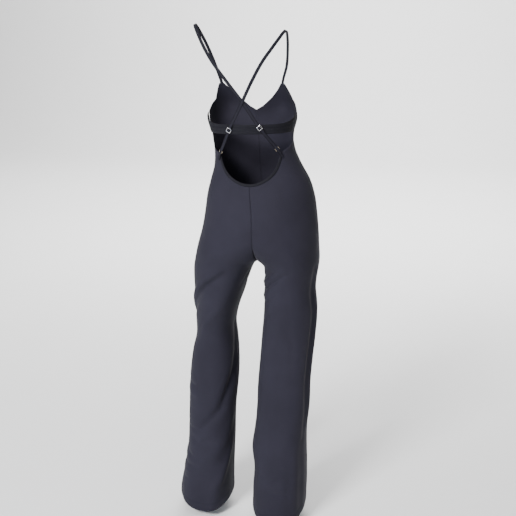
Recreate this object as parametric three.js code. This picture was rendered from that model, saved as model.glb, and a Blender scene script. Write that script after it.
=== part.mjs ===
// A backless wide-leg jumpsuit in stretch knit, open and hollow as on a standing figure.
// The front faces -Y, the back +Y, and the wearer's left is +X. Units are millimetres.
// The origin is midway between the two places where the straps pass over the shoulders.
import * as THREE from "three";

// Driving sizes.
const CLOTH = 1.2; // wall of the body cloth
const BAND_CLOTH = 2.2; // back band: elastic between two layers
const SEAM_GAP = 0.3; // between pieces that are sewn together or lie on each other
const CROTCH = -628; // height of the lowest point of the rise
const RISE = 80; // height over which the centre seams round into the crotch
const SEAT_BLEND = 110; // height over which two legs become one body
const UNDERBUST = -272; // seam between the bodice and the legs' panels
const STRAP = { width: 8.4, thick: 1.2 };
const TAB = { width: 8, thick: 1 };
const BINDING = { width: 7, thick: 0.9 };
const SLIDER = { width: 13.4, height: 12.6, bar: 1.6, thick: 1.2 };
const RING = { width: 12, height: 9.4, bar: 1.4, thick: 1.4 };
const BUST = { height: -215, across: 82, out: 24, wide: 46, above: 52, below: 36 };

const table = (names, rows) =>
  rows.map((row) => Object.fromEntries(names.map((name, i) => [name, row[i]])));

// The body above the crotch. left, middle and right are X, back and front are Y,
// square is the exponent of the rounded outline, and tilt leans a level towards the wearer's left.
const TORSO = table(
  ["height", "left", "middle", "right", "back", "front", "squareBack", "squareFront", "tilt"],
  [
    [-90, 128, -6, -140, 84, -86, 2.3, 2.6, 0],
    [-150, 98, -17, -132, 94, -94, 2.3, 3, 0],
    [-205, 91, -24, -147, 98, -102, 2.3, 2.9, 0],
    [-240, 88, -28, -154, 97, -103, 2.2, 2.6, -0.012],
    [-272, 79, -31.5, -147, 91, -98, 2.2, 2.3, -0.02],
    [-300, 72, -35, -146, 80, -93, 2.2, 2.2, -0.04],
    [-330, 70, -37.5, -153, 73, -90, 2.2, 2.2, -0.04],
    [-365, 72, -38.5, -171, 75, -91, 2.2, 2.2, -0.02],
    [-400, 81, -40, -192, 86, -95, 2.2, 2.2, -0.01],
    [-440, 91, -45, -206, 101, -99, 2.2, 2.2, 0],
    [-490, 98, -51, -214, 116, -101, 2.2, 2.2, 0],
    [-540, 107, -53, -219, 123, -100, 2.2, 2.2, 0],
    [-590, 120, -54, -221.5, 118, -97, 2.3, 2.3, 0],
    [-628, 128, -56, -223, 108, -94, 2.3, 2.3, 0],
    [-670, 133, -56, -220, 104, -94, 2.3, 2.3, 0],
  ],
);

// The legs below the crotch. outer, inner and side seam positions are X, X and Y.
const LEG_NAMES = ["height", "outer", "inner", "side", "back", "front", "square"];
const LEGS = {
  left: table(LEG_NAMES, [
    [-633, 129, -47, 0, 107, -94, 2.3],
    [-645, 131, -38, 0, 105, -94, 2.3],
    [-665, 132, -29, -1, 102, -94, 2.3],
    [-703, 132, -14, -4, 95, -95, 2.3],
    [-758, 131, 4, -11, 80, -98, 2.3],
    [-796, 134, 15.5, -18, 67, -101, 2.3],
    [-833, 134, 22, -25, 56, -105, 2.3],
    [-870, 137, 19, -30, 48, -110, 2.3],
    [-908, 147, 16.5, -33, 45, -113, 2.4],
    [-985, 158, 17, -35, 45, -115, 2.5],
    [-1103, 163, 27, -35, 50, -116, 2.6],
    [-1223, 168, 31, -34, 56, -117, 2.7],
    [-1305, 182, 34.5, -33, 60, -118, 2.7],
    [-1370, 193, 35, -32, 63, -119, 2.6],
    [-1425, 189, 34, -32, 65, -119, 2.6],
  ]),
  right: table(LEG_NAMES, [
    [-633, -222.5, -66.5, 1, 107, -93, 2.3],
    [-645, -221.5, -70, 2, 105, -92, 2.3],
    [-663, -218.5, -71, 3, 102, -90, 2.3],
    [-699, -214, -70, 4, 98, -88, 2.4],
    [-769, -219.5, -70.5, 6, 92, -84, 2.5],
    [-842, -215, -65, 7, 86, -80, 2.6],
    [-916, -208, -59.5, 7, 84, -79, 2.7],
    [-991, -203, -53.5, 6, 84, -80, 2.8],
    [-1067, -201.5, -50.5, 5, 86, -83, 2.8],
    [-1144, -194.5, -44.5, 5, 89, -86, 2.8],
    [-1200, -194.5, -38, 4, 92, -89, 2.8],
    [-1255, -196, -43.5, 4, 95, -92, 2.8],
    [-1320, -196.5, -39.5, 4, 98, -95, 2.7],
    [-1383, -194.5, -38, 3, 101, -97, 2.6],
    [-1430, -193, -38, 3, 103, -98, 2.6],
  ]),
};

// The hem dips at the heel and lifts over the instep: height at the seams, and the dip.
const HEMS = {
  left: { outer: -1374, inner: -1388, dip: 31 },
  right: { outer: -1386, inner: -1386, dip: 33 },
};

// Cut edges. across is the distance from the centre line, and share the part of the way to the side seam.
const BACK_EDGE = table(
  ["across", "height"],
  [
    [0, -404],
    [12, -403.2],
    [22, -400.8],
    [35, -395.3],
    [46, -388.8],
    [56, -381],
    [64, -372.5],
    [71, -361],
    [76, -349],
    [79, -339],
    [80.5, -331],
    [86, -324.5],
    [92, -320],
    [98, -316],
    [104, -311.5],
    [108, -306],
    [110.5, -298],
  ],
);
const SCOOP_ROWS = 11; // rows of BACK_EDGE that belong to the scoop
const CUP_EDGE = table(
  ["share", "height"],
  [
    [0, -224],
    [0.15, -214],
    [0.38, -191],
    [0.6, -165],
    [0.7, -150],
    [0.8, -150],
    [0.86, -164],
    [0.93, -194],
    [1, -222],
  ],
);
const BAND_EDGE = table(
  ["share", "height"],
  [
    [0, -246],
    [0.6, -246],
    [0.8, -244.5],
    [0.92, -239],
    [1, -222],
  ],
);

// Soft creases: out is the height of the ridge, negative for a trough.
// A path is a list of [round, height]: round is 0 at the side seam, 1 at the back of the inner seam
// and -1 at its front.
const CREASES = {
  left: [
    { out: 5, width: 10, path: [[0.04, -796], [0.26, -716], [0.5, -640]] },
    { out: -5, width: 9, path: [[0.1, -806], [0.33, -728], [0.56, -655]] },
    { out: 4, width: 20, path: [[0.7, -650], [0.56, -765], [0.22, -891]] },
    { out: -9, width: 15, path: [[0.97, -836], [0.86, -965], [0.66, -1087], [0.34, -1176]] },
    { out: 6, width: 22, path: [[1, -960], [0.92, -1080], [0.72, -1190], [0.5, -1250]] },
    { out: 8, width: 14, path: [[0.98, -1120], [0.8, -1230], [0.66, -1330], [0.6, -1440]] },
    { out: -5, width: 13, path: [[-0.9, -660], [-0.62, -720], [-0.35, -800]] },
    { out: 4, width: 16, path: [[-0.96, -700], [-0.7, -790], [-0.5, -860]] },
    { out: -7, width: 17, path: [[-0.3, -930], [-0.34, -1100], [-0.28, -1300]] },
    { out: 6, width: 18, path: [[-0.62, -980], [-0.66, -1180], [-0.64, -1420]] },
  ],
  right: [
    { out: -3.5, width: 7, path: [[0.92, -680], [0.78, -664], [0.6, -640]] },
    { out: -3.5, width: 8, path: [[0.9, -716], [0.72, -690], [0.5, -645]] },
    { out: -6, width: 10, path: [[0.17, -640], [0.16, -800], [0.17, -1000], [0.16, -1150]] },
    { out: 4, width: 9, path: [[0.08, -650], [0.07, -800], [0.08, -1000], [0.07, -1120]] },
    { out: -3, width: 12, path: [[0.2, -1160], [0.21, -1300], [0.2, -1400]] },
    { out: -5, width: 13, path: [[-0.9, -655], [-0.64, -700], [-0.42, -770]] },
    { out: -6, width: 18, path: [[-0.36, -900], [-0.34, -1100], [-0.38, -1330]] },
    { out: 6, width: 20, path: [[-0.64, -860], [-0.66, -1100], [-0.62, -1420]] },
  ],
};
const PANEL_WIDTH = 235; // round distance from the side seam to the inner seam, for crease widths

// Smooth value of one column of a table whose rows go down in height.
function valueAt(rows, column, height) {
  const last = rows.length - 1;
  let k = 0;
  while (k < last - 1 && rows[k + 1].height > height) k += 1;
  const slope = (i) =>
    (rows[i + 1][column] - rows[i][column]) / (rows[i + 1].height - rows[i].height);
  const span = (i) => rows[i + 1].height - rows[i].height;
  const tangent = (i) => {
    if (i === 0) return slope(0);
    if (i === last) return slope(last - 1);
    return (slope(i) * span(i - 1) + slope(i - 1) * span(i)) / (span(i - 1) + span(i));
  };
  const step = span(k);
  const t = THREE.MathUtils.clamp((height - rows[k].height) / step, 0, 1);
  const t2 = t * t;
  const t3 = t2 * t;
  return (
    (2 * t3 - 3 * t2 + 1) * rows[k][column] +
    (t3 - 2 * t2 + t) * step * tangent(k) +
    (3 * t2 - 2 * t3) * rows[k + 1][column] +
    (t3 - t2) * step * tangent(k + 1)
  );
}

// One table a side and face, running from the bodice to the hem.
const FORM = {};
for (const side of ["left", "right"])
  for (const face of ["back", "front"])
    FORM[side + face] = [
      ...TORSO.filter((row) => row.height >= CROTCH).map((row) => ({
        height: row.height,
        outer: row[side],
        side: 0,
        depth: row[face],
        square: face === "back" ? row.squareBack : row.squareFront,
      })),
      ...LEGS[side].map((row) => ({
        height: row.height,
        outer: row.outer,
        side: row.side,
        depth: row[face],
        square: row.square,
      })),
    ];
const INNER = {
  left: [{ height: CROTCH, inner: -56 }, ...LEGS.left],
  right: [{ height: CROTCH, inner: -56 }, ...LEGS.right],
};

const mix = THREE.MathUtils.lerp;
const OUTLINE_STEPS = 40;

// Level outline of one side's front or back, from the side seam to the inner or centre seam.
function outline(side, face, height) {
  const at = (column) => valueAt(FORM[side + face], column, height);
  const outer = at("outer");
  const seam = at("side");
  const depth = at("depth");
  const power = 2 / at("square");
  const above = height - CROTCH;
  const joined = THREE.MathUtils.smoothstep(above, 0, SEAT_BLEND);
  const inner =
    above > 0 ? valueAt(TORSO, "middle", height) : valueAt(INNER[side], "inner", height);
  const crest = mix((outer + inner) / 2, inner, joined);
  const round = THREE.MathUtils.clamp(above / RISE, 0, 1);
  const rise = Math.sqrt(1 - (1 - round) ** 2);
  const innerSeam = above > 0 ? mix(seam, valueAt(TORSO, face, height), rise) : seam;
  const points = [];
  for (let k = 0; k <= OUTLINE_STEPS; k += 1) {
    const turn = (Math.PI / 2) * (k / OUTLINE_STEPS);
    const cos = Math.max(Math.cos(turn), 0);
    points.push([
      crest + (outer - crest) * cos ** power,
      seam + (depth - seam) * Math.sin(turn) ** power,
    ]);
  }
  for (let k = 1; k <= OUTLINE_STEPS; k += 1) {
    const share = k / OUTLINE_STEPS;
    const turn = (Math.PI / 2) * share;
    const cos = Math.max(Math.cos(turn), 0);
    const sideways = mix(Math.sin(turn) ** power, share, joined);
    const inward = mix(1 - cos ** power, (1 - Math.cos(Math.PI * share)) / 2, joined);
    points.push([mix(crest, inner, sideways), mix(depth, innerSeam, inward)]);
  }
  return points;
}

// Point of an outline at a share of its length from the side seam.
function alongOutline(points, share) {
  const lengths = [0];
  for (let k = 1; k < points.length; k += 1)
    lengths.push(
      lengths[k - 1] +
        Math.hypot(points[k][0] - points[k - 1][0], points[k][1] - points[k - 1][1]),
    );
  const goal = share * lengths.at(-1);
  let k = 1;
  while (k < points.length - 1 && lengths[k] < goal) k += 1;
  const part = (goal - lengths[k - 1]) / Math.max(lengths[k] - lengths[k - 1], 1e-9);
  return {
    x: mix(points[k - 1][0], points[k][0], part),
    y: mix(points[k - 1][1], points[k][1], part),
    length: lengths.at(-1),
  };
}

function bustFullness(face, across, height) {
  if (face === "back") return 0;
  const away = height > BUST.height ? BUST.above : BUST.below;
  const beside = (Math.abs(across) - BUST.across) / BUST.wide;
  return BUST.out * Math.exp(-(beside ** 2) - ((height - BUST.height) / away) ** 2);
}

// The plain form, without creases.
function onForm(side, face, share, height) {
  const found = alongOutline(outline(side, face, height), share);
  const across = found.x - valueAt(TORSO, "middle", Math.max(height, CROTCH));
  const tilt = height > CROTCH ? valueAt(TORSO, "tilt", height) : 0;
  return new THREE.Vector3(
    found.x,
    found.y - bustFullness(face, across, height),
    height + tilt * across,
  );
}

// Signed height of the creases at one place of one side. Round a leg the places 1 and -1 are one
// seam; above the crotch the creases end before the centre seam, so that both sides meet there.
function creaseAt(side, round, height) {
  let sum = 0;
  const ends = height > CROTCH ? THREE.MathUtils.smoothstep(1 - Math.abs(round), 0, 0.12) : 1;
  for (const crease of CREASES[side]) {
    let nearest = Infinity;
    let strength = 0;
    const spans = crease.path.length - 1;
    for (let k = 0; k < spans; k += 1) {
      const [r0, h0] = crease.path[k];
      const [r1, h1] = crease.path[k + 1];
      const dx = (r1 - r0) * PANEL_WIDTH;
      const dy = h1 - h0;
      const turns = Math.round((round - (r0 + r1) / 2) / 2);
      const px = (round - 2 * turns - r0) * PANEL_WIDTH;
      const py = height - h0;
      const t = THREE.MathUtils.clamp((px * dx + py * dy) / (dx * dx + dy * dy), 0, 1);
      const away = Math.hypot(px - t * dx, py - t * dy);
      if (away < nearest) {
        nearest = away;
        strength = Math.sin(Math.PI * (0.12 + (0.76 * (k + t)) / spans));
      }
    }
    sum += crease.out * strength * Math.exp(-((nearest / crease.width) ** 2));
  }
  return sum * ends;
}

const NUDGE = { share: 0.001, height: 1 };
function normalOf(place, share, height, turned) {
  const low = Math.max(share - NUDGE.share, 0);
  const high = Math.min(share + NUDGE.share, 1);
  const along = place(high, height).sub(place(low, height));
  const up = place(share, height + NUDGE.height).sub(place(share, height - NUDGE.height));
  return along.cross(up).normalize().multiplyScalar(turned);
}

// +1 where share, then height, turn round the outward normal the right-handed way.
const turnOf = (side, face) => (side === "left" ? 1 : -1) * (face === "back" ? 1 : -1);

// The cloth's outer face at one place, and its outward normal.
function onCloth(side, face, share, height) {
  const turned = turnOf(side, face);
  const plain = (s, h) => onForm(side, face, s, h);
  const creased = (s, h) => {
    const round = face === "back" ? s : -s;
    const out = creaseAt(side, round, h);
    const point = plain(s, h);
    if (Math.abs(out) < 1e-3) return point;
    return point.addScaledVector(normalOf(plain, s, h, turned), out);
  };
  return {
    point: creased(share, height),
    normal: normalOf(creased, share, height, turned),
  };
}

// Share of the outline's length that lies at a distance across from the centre line.
function shareAcross(side, face, across, height) {
  const outer = valueAt(FORM[side + face], "outer", height);
  const middle = valueAt(TORSO, "middle", height);
  const sign = side === "left" ? 1 : -1;
  const goal = Math.min(across, Math.abs(outer - middle));
  const line = outline(side, face, height);
  let low = 0;
  let high = 1;
  for (let k = 0; k < 30; k += 1) {
    const half = (low + high) / 2;
    if ((alongOutline(line, half).x - middle) * sign > goal) low = half;
    else high = half;
  }
  return (low + high) / 2;
}

function halfWidth(side, height) {
  return Math.abs(
    valueAt(FORM[side + "back"], "outer", height) - valueAt(TORSO, "middle", height),
  );
}

// A cut edge as rows of share and height along one panel, from the centre to the side seam.
function edgeOn(side, face, rows) {
  return rows.map((row) => {
    const across = row.across ?? row.share * halfWidth(side, row.height);
    return { share: shareAcross(side, face, across, row.height), height: row.height };
  });
}

function heightOnEdge(edge, share) {
  let k = 0;
  while (k < edge.length - 2 && edge[k + 1].share > share) k += 1;
  const part = (share - edge[k].share) / (edge[k + 1].share - edge[k].share);
  return mix(edge[k].height, edge[k + 1].height, THREE.MathUtils.clamp(part, 0, 1));
}

// A closed wall of cloth from a grid of outer points and their normals.
function wall(grid, thick, turned) {
  const columns = grid.length;
  const rows = grid[0].length;
  const positions = [];
  for (const depth of [0, thick])
    for (const column of grid)
      for (const { point, normal } of column)
        positions.push(...point.clone().addScaledVector(normal, -depth).toArray());
  const outer = (i, j) => i * rows + j;
  const inner = (i, j) => columns * rows + i * rows + j;
  const faces = [];
  const quad = (a, b, c, d) => faces.push([a, b, c], [a, c, d]);
  for (let i = 0; i < columns - 1; i += 1)
    for (let j = 0; j < rows - 1; j += 1) {
      quad(outer(i, j), outer(i + 1, j), outer(i + 1, j + 1), outer(i, j + 1));
      quad(inner(i, j), inner(i, j + 1), inner(i + 1, j + 1), inner(i + 1, j));
    }
  for (let i = 0; i < columns - 1; i += 1) {
    quad(outer(i, 0), inner(i, 0), inner(i + 1, 0), outer(i + 1, 0));
    const top = rows - 1;
    quad(outer(i, top), outer(i + 1, top), inner(i + 1, top), inner(i, top));
  }
  for (let j = 0; j < rows - 1; j += 1) {
    quad(outer(0, j), outer(0, j + 1), inner(0, j + 1), inner(0, j));
    const end = columns - 1;
    quad(outer(end, j), inner(end, j), inner(end, j + 1), outer(end, j + 1));
  }
  const index = faces.flatMap(([a, b, c]) => (turned > 0 ? [a, b, c] : [a, c, b]));
  return new THREE.BufferGeometry()
    .setAttribute("position", new THREE.Float32BufferAttribute(positions, 3))
    .setIndex(index);
}

// Materials.
const knit = new THREE.MeshStandardMaterial({ color: 0x2b2b34, roughness: 0.82, metalness: 0 });
const elastic = new THREE.MeshStandardMaterial({ color: 0x24252e, roughness: 0.75, metalness: 0 });
const steel = new THREE.MeshStandardMaterial({ color: 0xb9b6b2, roughness: 0.25, metalness: 1 });

const suit = new THREE.Group();
function addPiece(name, geometry, material) {
  const mesh = new THREE.Mesh(geometry, material);
  mesh.name = name;
  suit.add(mesh);
  return mesh;
}

const evenShares = (count) => Array.from({ length: count + 1 }, (_, k) => k / count);

// Leg panels, each in one piece from the hem to the waist or to the open back.
const KNEE = -860;
const ROWS = { shin: 12, thigh: 9, rise: 5, above: 8 }; // the same in each panel, so that seams meet
const COLUMNS = { side: 8, scoop: 11, front: 12 }; // steps to the horn, on to the centre, and in front

function hemHeight(side, face, share) {
  const hem = HEMS[side];
  const sink = face === "back" ? -hem.dip : hem.dip;
  return mix(hem.outer, hem.inner, share) + sink * Math.sin(Math.PI * share) ** 2.4;
}

function panelHeights(side, face, share, top) {
  const hem = hemHeight(side, face, share);
  const heights = [];
  for (let k = 0; k < ROWS.shin; k += 1) heights.push(mix(hem, KNEE, k / ROWS.shin));
  for (let k = 0; k < ROWS.thigh; k += 1) heights.push(mix(KNEE, CROTCH, k / ROWS.thigh));
  for (let k = 0; k < ROWS.rise; k += 1)
    heights.push(CROTCH + RISE * (1 - Math.cos((Math.PI / 2) * (k / ROWS.rise))));
  for (let k = 0; k <= ROWS.above; k += 1)
    heights.push(mix(CROTCH + RISE, top, k / ROWS.above));
  return heights;
}

function legPanel(side, face, shares, topAt) {
  const trim = SEAM_GAP / 2 / PANEL_WIDTH;
  return shares.map((part) => {
    const share = mix(trim, 1 - trim, part);
    const heights = panelHeights(side, face, share, topAt(share));
    return heights.map((height) => onCloth(side, face, share, height));
  });
}

const backPanels = {};
for (const side of ["left", "right"]) {
  const edge = [...edgeOn(side, "back", BACK_EDGE), { share: 0, height: UNDERBUST - SEAM_GAP }];
  const horn = edge[SCOOP_ROWS - 1].share;
  const backShares = [
    ...evenShares(COLUMNS.side).map((part) => part * horn),
    ...evenShares(COLUMNS.scoop)
      .slice(1)
      .map((part) => mix(horn, 1, part)),
  ];
  const backTop = (share) => heightOnEdge(edge, share);
  const frontTop = () => UNDERBUST - SEAM_GAP;
  backPanels[side] = legPanel(side, "back", backShares, backTop);
  addPiece("back_" + side, wall(backPanels[side], CLOTH, turnOf(side, "back")), knit);
  const frontPanel = legPanel(side, "front", evenShares(COLUMNS.front), frontTop);
  addPiece("front_" + side, wall(frontPanel, CLOTH, turnOf(side, "front")), knit);
}

// Bodice front: two cups that meet at the centre front and rise to the straps.
const CUP_SHARES = [0, 0.07, 0.14, 0.2, 0.26, 0.3, 0.36, 0.43, 0.5, 0.6, 0.7, 0.8, 0.9, 1];
const CUP_ROWS = 9;
const cupEdges = {};
for (const side of ["left", "right"]) {
  cupEdges[side] = edgeOn(side, "front", CUP_EDGE);
  const trim = SEAM_GAP / 2 / 170;
  const grid = CUP_SHARES.map((part) => {
    const share = mix(trim, 1 - trim, part);
    const top = heightOnEdge(cupEdges[side], share);
    return evenShares(CUP_ROWS).map((up) =>
      onCloth(side, "front", share, mix(UNDERBUST, top, up)),
    );
  });
  addPiece("cup_" + side, wall(grid, CLOTH, turnOf(side, "front")), knit);
}

// Back band: one strip from side seam to side seam, around the back.
const BAND_STEPS = 12;
const BAND_ROWS = 3;
{
  const column = (side, share) => {
    const top = heightOnEdge(edgeOn(side, "back", BAND_EDGE), share);
    return evenShares(BAND_ROWS).map((up) =>
      onCloth(side, "back", share, mix(UNDERBUST, top, up)),
    );
  };
  const trim = SEAM_GAP / 2 / 170;
  const shares = evenShares(BAND_STEPS).map((part) => mix(trim, 1, part));
  const leftHalf = shares.map((share) => column("left", share));
  const rightHalf = shares.slice(0, -1).reverse().map((share) => column("right", share));
  addPiece("back_band", wall([...leftHalf, ...rightHalf], BAND_CLOTH, 1), elastic);
}

// Binding on the scoop: a strip on the two back panels, made from their own edge points moved out.
{
  const half = (side) => {
    const columns = backPanels[side].slice(COLUMNS.side);
    return columns.map((column, i) => {
      const top = column.at(-1);
      const before = columns[Math.max(i - 1, 0)].at(-1).point;
      const after = columns[Math.min(i + 1, columns.length - 1)].at(-1).point;
      const run = after.clone().sub(before);
      const slant = run.length() / Math.hypot(run.x, run.y);
      let drop = BINDING.width * Math.min(slant, 2.6);
      let row = column.length - 1;
      while (row > 1 && column[row].point.distanceTo(column[row - 1].point) < drop) {
        drop -= column[row].point.distanceTo(column[row - 1].point);
        row -= 1;
      }
      const part = drop / column[row].point.distanceTo(column[row - 1].point);
      const low = column[row].point.clone().lerp(column[row - 1].point, part);
      const lowNormal = column[row].normal.clone().lerp(column[row - 1].normal, part).normalize();
      return [{ point: low, normal: lowNormal }, top].map(({ point, normal }) => ({
        point: point.clone().addScaledVector(normal, SEAM_GAP + BINDING.thick),
        normal,
      }));
    });
  };
  const rightHalf = half("right").reverse().slice(1);
  addPiece("scoop_binding", wall([...half("left"), ...rightHalf], BINDING.thick, 1), elastic);
}

// A strip of rectangular section that follows a path, with its width along the sides given.
function strip(path, width, thick) {
  const positions = [];
  path.forEach(({ point, side }, i) => {
    const before = path[Math.max(i - 1, 0)].point;
    const after = path[Math.min(i + 1, path.length - 1)].point;
    const along = after.clone().sub(before).normalize();
    const across = side.clone().addScaledVector(along, -side.dot(along)).normalize();
    const out = across.clone().cross(along);
    for (const [a, b] of [[-1, -1], [1, -1], [1, 1], [-1, 1]])
      positions.push(
        ...point
          .clone()
          .addScaledVector(across, (a * width) / 2)
          .addScaledVector(out, (b * thick) / 2)
          .toArray(),
      );
  });
  const faces = [];
  const quad = (a, b, c, d) => faces.push(a, b, c, a, c, d);
  const last = (path.length - 1) * 4;
  for (let k = 0; k < last; k += 4)
    for (let c = 0; c < 4; c += 1) {
      const d = (c + 1) % 4;
      quad(k + c, k + 4 + c, k + 4 + d, k + d);
    }
  quad(0, 1, 2, 3);
  quad(last + 3, last + 2, last + 1, last);
  return new THREE.BufferGeometry()
    .setAttribute("position", new THREE.Float32BufferAttribute(positions, 3))
    .setIndex(faces);
}

// A place on the outer face of the back, at its X and Z, with the outward normal there.
function onBack(x, z) {
  const middle = valueAt(TORSO, "middle", z);
  const height = z - valueAt(TORSO, "tilt", z) * (x - middle);
  const side = x > valueAt(TORSO, "middle", height) ? "left" : "right";
  const across = Math.abs(x - valueAt(TORSO, "middle", height));
  return onCloth(side, "back", shareAcross(side, "back", across, height), height);
}

// Levels over the back's outer face: what lies there is built up in layers.
const LAYER = STRAP.thick + SEAM_GAP; // from one strap layer to the next
const LEVEL = { under: 1.2, slider: 4.4, ring: 3.8, tab: 2.2 };
const TURN = RING.bar / 2 + 2 * SEAM_GAP + STRAP.thick / 2; // radius of a strap round a ring's bar

// The straps' fittings on the back, as X and Z: each slider and ring, and the tab's sewn end.
const FITTINGS = {
  left: { slider: [-69, -253], ring: [-110, -311], end: [-124, -334] },
  right: { slider: [12, -261], ring: [40, -322], end: [49, -345] },
};

// The run of each strap from above its slider over the shoulder to the cup. facing turns from
// 0 at the back through 90 on top of the shoulder to 180 in front.
const RUN_NAMES = ["x", "y", "z", "facing"];
const RUNS = {
  left: table(RUN_NAMES, [
    [-45, 98, -217, 0],
    [-24, 98, -187, 2],
    [17, 92, -137, 8],
    [58, 77, -88, 18],
    [84, 58, -52, 34],
    [106, 32, -18, 58],
    [118, 14, 2, 76],
    [123, -2, 8, 92],
    [122, -18, 3, 112],
    [118, -38, -11, 132],
    [108, -66, -42, 150],
    [92, -92, -92, 166],
  ]),
  right: table(RUN_NAMES, [
    [-8, 99, -222, 0],
    [-25, 101, -187, 2],
    [-45.5, 96, -142, 8],
    [-72, 76, -88, 18],
    [-91.5, 56, -57, 34],
    [-109, 31, -29, 58],
    [-119, 13, -13, 76],
    [-123, -3, -8, 92],
    [-123, -19, -13, 112],
    [-122, -39, -27, 132],
    [-119, -66, -56, 150],
    [-113, -92, -102, 166],
  ]),
};
const CUP_POINT = 0.74; // share of the way from the centre line at which a strap joins its cup
const CUP_LAP = 12; // height of the strap's end on the cup

// The line over the back on which one strap's fittings lie, with places by distance and level.
// Distances start at the slider and grow downwards.
function fittingLine(side) {
  const { slider, ring, end } = FITTINGS[side];
  const above = [2 * slider[0] - ring[0], 2 * slider[1] - ring[1]].map((v, i) =>
    mix(slider[i], v, 0.3),
  );
  const stops = [above, slider, ring, end];
  const places = [];
  const marks = [];
  let travelled = 0;
  stops.forEach(([x, z], k) => {
    const steps = k === 0 ? 1 : 16;
    for (let i = 1; i <= steps; i += 1) {
      const [x0, z0] = stops[Math.max(k - 1, 0)];
      const { point, normal } = onBack(mix(x0, x, i / steps), mix(z0, z, i / steps));
      if (places.length) travelled += point.distanceTo(places.at(-1).point);
      places.push({ point, normal, travelled });
    }
    marks.push(travelled);
  });
  const [, start, ringMark, endMark] = marks;
  const base = (distance) => {
    let k = 0;
    while (k < places.length - 2 && places[k + 1].travelled < distance + start) k += 1;
    const [low, high] = [places[k], places[k + 1]];
    const part = (distance + start - low.travelled) / (high.travelled - low.travelled);
    return {
      point: low.point.clone().lerp(high.point, part),
      normal: low.normal.clone().lerp(high.normal, part).normalize(),
    };
  };
  const frameAt = (distance) => {
    const { point, normal } = base(distance);
    const along = base(distance + 2).point.sub(base(distance - 2).point).normalize();
    const out = normal.addScaledVector(along, -normal.dot(along)).normalize();
    return { point, along, normal: out, side: along.clone().cross(out) };
  };
  const at = (distance, level) => {
    const { point, normal, side: across } = frameAt(distance);
    return { point: point.addScaledVector(normal, level), side: across };
  };
  return { at, frameAt, ring: ringMark - start, end: endMark - start };
}

// A strip's turn round a bar: from its inner to its outer side.
function turnRound(line, distance, level, radius, towards) {
  return [-90, -54, -18, 18, 54, 90].map((angle) => {
    const turn = THREE.MathUtils.degToRad(angle);
    return line.at(
      distance + towards * radius * Math.cos(turn),
      level + radius * Math.sin(turn),
    );
  });
}

function plate(width, height, bar, thick, windows) {
  const shape = new THREE.Shape();
  const cut = 1.2;
  const w = width / 2;
  const h = height / 2;
  const corners = [[w - cut, -h], [w, cut - h], [w, h - cut], [w - cut, h]];
  const outline = [...corners, ...corners.map(([x, y]) => [-x, -y])];
  shape.setFromPoints(outline.map(([x, y]) => new THREE.Vector2(x, y)));
  const pitch = (height - bar) / windows;
  for (let k = 0; k < windows; k += 1) {
    const low = -h + bar + k * pitch;
    const high = low + pitch - bar;
    const hole = [[bar - w, low], [bar - w, high], [w - bar, high], [w - bar, low]];
    shape.holes.push(new THREE.Path(hole.map(([x, y]) => new THREE.Vector2(x, y))));
  }
  return new THREE.ExtrudeGeometry(shape, { depth: thick, bevelEnabled: false }).translate(
    0,
    0,
    -thick / 2,
  );
}

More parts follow.
